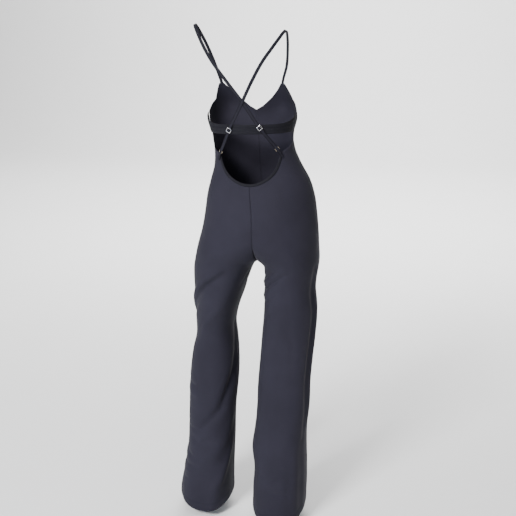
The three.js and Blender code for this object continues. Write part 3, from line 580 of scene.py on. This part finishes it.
knit = Shader("charcoal_double_knit", Roughness=0.78)
knit.surface.inputs["Specular IOR Level"].default_value = 0.12
knit.surface.inputs["Sheen Weight"].default_value = 0.03
KNIT = {"shade": (0.0145, 0.0132, 0.0205, 1), "face": (0.0235, 0.0218, 0.0335, 1)}
soft_tone = knit.range(knit.noise(9, 3), 0.3, 0.7)
yarn = knit.noise(900, 2, stretch=(1, 1, 0.45))
tone = knit.blend(soft_tone * 0.35 + yarn * 0.4 + 0.15, KNIT["shade"], KNIT["face"])
# Painted shade: a darker colour is painted along the seam grooves and the stitch lines that carry
# this mark.
painted_stitch_shade = knit.attribute("painted_stitch_shade")
knit.feed("Base Color", knit.blend(painted_stitch_shade * 0.5, tone, (0.0085, 0.0078, 0.0125, 1)))
knit.feed("Roughness", knit.range(yarn, 0.2, 0.8, 0.74, 0.86))
knit.bump(yarn * 0.7 + knit.noise(160, 2) * 0.5, 0.0003, 0.55)

COLUMNS = 84
ROWS_UP = 300
HEM = {"height": 24, "out": 0.45}
SEAM = {"deep": 0.6, "wide": 2.4, "pucker": 0.4, "pitch": 11}

panel_edges = {}
for side in ("left", "right"):
    back = np.vstack([edge_on(side, "back", BACK_EDGE), [0, UNDERBUST - SEAM_GAP]])
    panel_edges[side] = back
    for face in ("back", "front"):
        spread = np.linspace(0, 1, COLUMNS)
        share = (spread - 0.28 * np.sin(2 * math.pi * spread) / (2 * math.pi))[:, None]
        hem = HEMS[side]
        dip = -hem["dip"] if face == "back" else hem["dip"]
        bottom = hem["outer"] + (hem["inner"] - hem["outer"]) * share
        bottom = bottom + dip * np.sin(math.pi * share) ** 2.4
        if face == "back":
            top = edge_height(back, share[:, 0])[:, None]
        else:
            top = np.full_like(share, UNDERBUST)
        up = np.linspace(0, 1, ROWS_UP)[None, :]
        height = bottom + (top - bottom) * up
        share = np.broadcast_to(share, height.shape)
        from_seam = np.minimum(share, 1 - share) * PANEL_WIDTH
        from_hem = height - bottom
        ripple = 1 + SEAM["pucker"] * np.sin(height / SEAM["pitch"] * 2 * math.pi + 3 * share)
        groove = -SEAM["deep"] * ripple * np.exp(-((from_seam / SEAM["wide"]) ** 2))
        fold = HEM["out"] * (1 - smoothstep(from_hem, HEM["height"] - 1, HEM["height"] + 1))
        stitched = np.exp(-(((from_hem - HEM["height"]) / 1.4) ** 2))
        rolled = -0.5 * (1 - smoothstep(from_hem, 0, 1.5))
        grid = cloth_grid(side, face, share, height, groove + fold - 0.35 * stitched + rolled)
        turned = turn_of(side, face)
        # Mask for the painted shade in the seam grooves and along the hem's stitch line.
        marks = {"painted_stitch_shade": np.clip(np.exp(-((from_seam / 1.6) ** 2)) + 0.5 * stitched, 0, 1)}
        name = face + "_panel_" + side
        piece = shell(name, grid, normals_of(grid, turned), CLOTH - 0.2, knit, turned, marks)
        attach(piece, "root")
        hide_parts(face + "_" + side)

# Bodice cups. Two shaped pieces of the same knit that meet at the centre front, rise to a point
# under each strap and run down to the side seams. They are sewn to the front panels below.
CUP_EDGE = [
    (0, -224), (0.15, -214), (0.38, -191), (0.6, -165), (0.7, -150), (0.8, -150), (0.86, -164),
    (0.93, -194), (1, -222),
]
for side in ("left", "right"):
    rows = [(part * half_width(side, height), height) for part, height in CUP_EDGE]
    edge = edge_on(side, "front", rows)
    spread = np.linspace(0, 1, 90)[:, None]
    top = edge_height(edge, spread[:, 0])[:, None]
    up = np.linspace(0, 1, 56)[None, :]
    height = UNDERBUST + (top - UNDERBUST) * up
    share = np.broadcast_to(spread, height.shape)
    below_top = top - height
    bound = 0.4 * (1 - smoothstep(below_top, 6.5, 8))
    groove = -0.7 * np.exp(-(((height - UNDERBUST) / 1.6) ** 2))
    seam = -0.7 * np.exp(-((np.minimum(share, 1 - share) * 170 / 1.8) ** 2))
    grid = cloth_grid(side, "front", share, height, bound + groove + seam)
    turned = turn_of(side, "front")
    # Mask for the painted shade along the line where the bound top edge steps down.
    marks = {"painted_stitch_shade": np.exp(-(((below_top - 7) / 1.0) ** 2))}
    normals = normals_of(grid, turned)
    cup = shell("cup_cloth_" + side, grid, normals, CLOTH - 0.2, knit, turned, marks)
    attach(cup, "root")
    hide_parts("cup_" + side)

# Back band. Wide elastic inside a folded strip of the knit, sewn from side seam to side seam.
# Two lines of stitching run along it and divide it into three soft channels.
BAND_EDGE = [(0, -246), (0.6, -246), (0.8, -244.5), (0.92, -239), (1, -222)]
BAND = {"thick": 2.0, "channel": 0.55, "flat": (0.354, 0.053), "area": 0.0107}
band_cloth = Shader("band_knit", Roughness=0.74)
band_cloth.surface.inputs["Specular IOR Level"].default_value = 0.1
band_yarn = band_cloth.noise(900, 2, stretch=(0.45, 1, 1))
band_tone = band_cloth.blend(band_yarn, (0.0085, 0.0082, 0.011, 1), (0.0135, 0.013, 0.0175, 1))
# Painted shade: the valleys along the two lines of stitching are painted darker.
band_stitch_shade = band_cloth.attribute("painted_stitch_shade")
band_shade_colour = (0.006, 0.006, 0.009, 1)
band_cloth.feed("Base Color", band_cloth.blend(band_stitch_shade * 0.7, band_tone, band_shade_colour))
band_cloth.feed("Roughness", band_cloth.range(band_yarn, 0.2, 0.8, 0.7, 0.82))
band_cloth.bump(band_yarn, 0.0003, 0.5)

halves = []
for side in ("left", "right"):
    rows = [(part * half_width(side, height), height) for part, height in BAND_EDGE]
    edge = edge_on(side, "back", rows)
    spread = np.linspace(0, 1, 90)[:, None]
    top = edge_height(edge, spread[:, 0])[:, None]
    up = np.linspace(0, 1, 41)[None, :]
    height = UNDERBUST + (top - UNDERBUST) * up
    share = np.broadcast_to(spread, height.shape)
    up = np.broadcast_to(up, height.shape)
    # Mask for the painted shade in the stitched valleys between the channels.
    lines = sum(np.exp(-(((up - place) / 0.03) ** 2)) for place in (1 / 3, 2 / 3))
    crown = BAND["channel"] * (np.abs(np.sin(3 * math.pi * up)) ** 0.5 - 1)
    grid = cloth_grid(side, "back", share, height, crown)
    halves.append((grid, lines))
grid = np.concatenate([halves[0][0], halves[1][0][::-1][1:]])
lines = np.concatenate([halves[0][1], halves[1][1][::-1][1:]])
band = shell("band", grid, normals_of(grid, 1), BAND["thick"], band_cloth, 1, {"painted_stitch_shade": lines})
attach(band, "root")
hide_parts("back_band")

# Scoop binding. A narrow bias strip of the knit, folded over the cut edge of the open back from
# horn to horn and sewn down along its outer edge, where the seam is painted as a dark line of shade.
BINDING = {"width": 7.0, "thick": 0.9, "flat": (0.267, 0.01), "area": 0.0018, "steps": 60}
SCOOP_SPAN = 190
columns = []
for side in ("left", "right"):
    edge = panel_edges[side][:SCOOP_ROWS]
    heights = edge[:, 1]
    along = np.linspace(0, 1, BINDING["steps"]) ** 0.9
    steps = np.hypot(np.diff(edge[:, 0]) * SCOOP_SPAN, np.diff(heights))
    walked = np.concatenate([[0], np.cumsum(steps)])
    share = np.interp(along * walked[-1], walked, edge[:, 0])
    height = np.interp(along * walked[-1], walked, heights)
    run = np.gradient(share) * SCOOP_SPAN
    lift = np.gradient(height)
    size = np.hypot(run, lift)
    inward = np.linspace(0, BINDING["width"], 9)[None, :]
    at_share = share[:, None] - inward * (lift / size)[:, None] / SCOOP_SPAN
    at_height = height[:, None] - inward * np.abs(run / size)[:, None]
    crown = np.sin(math.pi * inward / BINDING["width"])
    lifted = SEAM_GAP + BINDING["thick"] * (0.55 + 0.45 * crown)
    half = cloth_grid(side, "back", at_share, at_height, lifted)
    columns.append(half)
grid = np.concatenate([columns[0][::-1], columns[1][1:]])[:, ::-1]
across = np.broadcast_to(np.linspace(1, 0, 9)[None, :], grid.shape[:2])
# Mask for the painted shade along the stitched outer edge.
marks = {"painted_stitch_shade": np.exp(-(((across - 0.92) / 0.12) ** 2))}
binding = shell("binding", grid, normals_of(grid, 1), 0.6, band_cloth, 1, marks)
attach(binding, "root")
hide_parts("scoop_binding")

# Shoulder straps. Each is a strip of the knit sewn into a tube, turned out and pressed flat, so its
# edges are round; painted shade makes them darker than its middle. It runs from its slider's middle
# bar down round the ring, back up through the slider, over the shoulder and onto the point of a cup.
STRAP = {"width": 8.8, "thick": 1.4, "finer": 4}


def rings_of(node, first_axis):
    """Centre, width direction and thickness direction of each ring of a strip's mesh."""
    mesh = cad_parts[node].data
    where = np.empty(len(mesh.vertices) * 3)
    mesh.vertices.foreach_get("co", where)
    where = where.reshape(-1, 3) * 1000
    keys, same = np.unique(np.round(where, 2), axis=0, return_inverse=True)
    same = same.ravel()
    near = [set() for _ in keys]
    for polygon in mesh.polygons:
        corner = [int(same[i]) for i in polygon.vertices]
        for a, b in zip(corner, corner[1:] + corner[:1]):
            near[a].add(b)
            near[b].add(a)
    ends = [i for i in range(len(keys)) if len(near[i]) <= 5]
    start = min(ends, key=lambda i: keys[i][first_axis])
    layer = {start}
    for _ in range(2):
        layer |= {j for i in layer for j in near[i] if j in ends}
    seen = set(layer)
    layers = [sorted(layer)]
    while layer:
        layer = {j for i in layer for j in near[i]} - seen
        seen |= layer
        if layer:
            layers.append(sorted(layer))
    rings = []
    before = None
    for layer in layers:
        corners = keys[layer]
        centre = corners.mean(axis=0)
        _, _, axes = np.linalg.svd(corners - centre)
        across, out = axes[0], axes[1]
        if before is not None:
            across = across * np.sign(across @ before[0])
            out = out * np.sign(out @ before[1])
        before = (across, out)
        rings.append((centre, across, out))
    return [np.array(part) for part in zip(*rings)]


def smoothed(values, finer):
    """Catmull-Rom points through a list of points."""
    padded = np.vstack([2 * values[0] - values[1], values, 2 * values[-1] - values[-2]])
    made = []
    for k in range(1, len(padded) - 2):
        a, b, c, d = padded[k - 1 : k + 3]
        for t in np.arange(finer) / finer:
            made.append(
                0.5 * (2 * b + (c - a) * t + (2 * a - 5 * b + 4 * c - d) * t**2
                       + (3 * b - a - 3 * c + d) * t**3)
            )
    return np.array(made + [values[-1]])


def ribbon(name, rings, width, thick, finer, shader):
    """A flat tube with round edges that follows rings of a strip."""
    centre, across, out = (smoothed(part, finer) for part in rings)
    across /= np.linalg.norm(across, axis=1, keepdims=True)
    out -= across * np.sum(out * across, axis=1, keepdims=True)
    out /= np.linalg.norm(out, axis=1, keepdims=True)
    turns = np.linspace(0, 2 * math.pi, 24, endpoint=False)
    wide = np.sign(np.cos(turns)) * np.abs(np.cos(turns)) ** 0.45
    high = np.sign(np.sin(turns)) * np.abs(np.sin(turns)) ** 0.75
    high = high * (1 - 0.12 * np.cos(wide * math.pi / 2))
    points = (
        centre[:, None, :]
        + across[:, None, :] * (wide * width / 2)[None, :, None]
        + out[:, None, :] * (high * thick / 2)[None, :, None]
    )
    count = len(turns)
    # How far towards each edge a point lies, the mask for the painted shade on the round edges.
    edge = np.broadcast_to(np.abs(wide)[None, :], points.shape[:2])
    index = np.arange(len(points) * count).reshape(len(points), count)
    beside = np.roll(index, -1, axis=1)
    faces = np.stack([index[:-1], beside[:-1], beside[1:], index[1:]], axis=-1).reshape(-1, 4)
    solid = np.cross(points[0, 6] - points[0, 0], points[0, 12] - points[0, 6])
    if solid @ (centre[1] - centre[0]) > 0:
        faces = faces[:, ::-1]
    caps = [index[0].tolist(), index[-1][::-1].tolist()]
    if solid @ (centre[1] - centre[0]) > 0:
        caps = [cap[::-1] for cap in caps]
    made = faces.tolist() + [cap[::-1] for cap in caps]
    return make_piece(name, points.reshape(-1, 3) / 1000, made, shader, marks={"edge": edge})


strap_cloth = Shader("strap_knit", Roughness=0.72)
strap_cloth.surface.inputs["Specular IOR Level"].default_value = 0.1
strap_yarn = strap_cloth.noise(1100, 2, stretch=(1, 1, 0.4))
strap_tone = strap_cloth.blend(strap_yarn, (0.0105, 0.0098, 0.0145, 1), (0.017, 0.016, 0.0235, 1))
# Painted shade: the round edges of the strap and tab are painted much darker than the middle.
strap_edge_shade = strap_cloth.range(strap_cloth.attribute("edge"), 0.55, 0.95)
strap_cloth.feed("Base Color", strap_cloth.blend(strap_edge_shade, strap_tone, (0.004, 0.0037, 0.0055, 1)))
strap_cloth.feed("Roughness", strap_cloth.range(strap_yarn, 0.2, 0.8, 0.68, 0.8))
strap_cloth.bump(strap_yarn, 0.0002, 0.5)

for side in ("left", "right"):
    rings = rings_of("strap_" + side, 1)
    strap = ribbon(
        "shoulder_strap_" + side, rings, STRAP["width"], STRAP["thick"], STRAP["finer"], strap_cloth
    )
    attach(strap, "root")
    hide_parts("strap_" + side)

# Tabs. Two short strips of the same pressed tube, each folded round the lower bar of a ring, with
# both ends sewn down on the back panel just outside the scoop.
TAB = {"width": 7.8, "thick": 1.1, "finer": 5}
for side in ("left", "right"):
    rings = rings_of("tab_" + side, 2)
    tab = ribbon("ring_tab_" + side, rings, TAB["width"], TAB["thick"], TAB["finer"], strap_cloth)
    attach(tab, "root")
    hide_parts("tab_" + side)

# Sliders and rings. Small parts of cast and polished metal with rounded bars: a slider has a
# middle bar that the strap goes over, and a ring joins the strap's fold to its tab.
METAL = {
    "slider": {"width": 13.2, "height": 12.4, "bar": 1.5, "thick": 1.3, "middle": True},
    "ring": {"width": 11.8, "height": 9.2, "bar": 1.3, "thick": 1.3, "middle": False},
}
metal_shaders = {}
for kind, light, dark in (
    ("slider", (0.62, 0.61, 0.62, 1), (0.34, 0.34, 0.36, 1)),
    # The ring's warm gold tint is a painted warm reflection on silver-tone metal like the sliders'.
    ("ring", (0.70, 0.60, 0.46, 1), (0.40, 0.33, 0.24, 1)),
):
    metal = Shader("polished_" + kind, Metallic=1.0, Roughness=0.24)
    smear = metal.noise(260, 3)
    metal.feed("Base Color", metal.blend(metal.range(smear, 0.35, 0.7), light, dark))
    metal.feed("Roughness", metal.range(smear, 0.3, 0.7, 0.18, 0.34))
    metal.bump(metal.noise(900, 2), 0.00005, 0.4)
    metal_shaders[kind] = metal


def plate_axes(node):
    """Centre of a flat fitting and its directions across, along and through."""
    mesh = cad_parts[node].data
    where = np.array([vertex.co for vertex in mesh.vertices]) * 1000
    keys, same = np.unique(np.round(where, 2), axis=0, return_inverse=True)
    same = same.ravel()
    _, _, axes = np.linalg.svd(keys - keys.mean(axis=0))
    through = axes[2]
    sides = {}
    for polygon in mesh.polygons:
        corner = [int(same[i]) for i in polygon.vertices]
        for a, b in zip(corner, corner[1:] + corner[:1]):
            sides.setdefault((min(a, b), max(a, b)), []).append(np.array(polygon.normal))
    longest = np.zeros(3)
    for (a, b), normals in sides.items():
        line = keys[b] - keys[a]
        sharp = len(normals) == 2 and abs(normals[0] @ normals[1]) < 0.5
        if sharp and abs(line @ through) < 0.5 and line @ line > longest @ longest:
            longest = line
    across = longest / np.linalg.norm(longest)
    return keys.mean(axis=0), across, np.cross(through, across), through


def bar_frame(name, axes, width, height, bar, thick, middle, shader):
    """A rounded rectangle of a round bar, with a middle bar if asked for."""
    centre, across, along, through = axes
    points = []
    faces = []
    turns = np.linspace(0, 2 * math.pi, 12, endpoint=False)
    half_w, half_h = (width - bar) / 2, (height - bar) / 2
    corner = 1.6
    path = []
    for quarter, (sx, sy) in enumerate(((1, 1), (-1, 1), (-1, -1), (1, -1))):
        for step in np.linspace(0, math.pi / 2, 7):
            angle = quarter * math.pi / 2 + step
            path.append((
                sx * (half_w - corner) + corner * math.cos(angle),
                sy * (half_h - corner) + corner * math.sin(angle),
                math.cos(angle), math.sin(angle),
            ))

    def add_bar(path, closed):
        base = len(points)
        for x, y, nx, ny in path:
            for t in turns:
                out = math.cos(t) * bar / 2
                up = math.sin(t) * thick / 2
                points.append(
                    centre + across * (x + nx * out) + along * (y + ny * out) + through * up
                )
        rings = len(path)
        for k in range(rings if closed else rings - 1):
            for c in range(12):
                a = base + k * 12 + c
                b = base + k * 12 + (c + 1) % 12
                nxt = ((k + 1) % rings) * 12 - k * 12
                faces.append((a, a + nxt, b + nxt, b))

    add_bar(path, True)
    if middle:
        ends = np.linspace(-half_w, half_w, 7)
        add_bar([(x, 0, 0, 1) for x in ends[::-1]], False)
    return make_piece(name, np.array(points) / 1000, faces, shader)


for kind, size in METAL.items():
    for side in ("left", "right"):
        axes = plate_axes(kind + "_" + side)
        fitting = bar_frame("metal_" + kind + "_" + side, axes, shader=metal_shaders[kind], **size)
        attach(fitting, "root")
        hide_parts(kind + "_" + side)
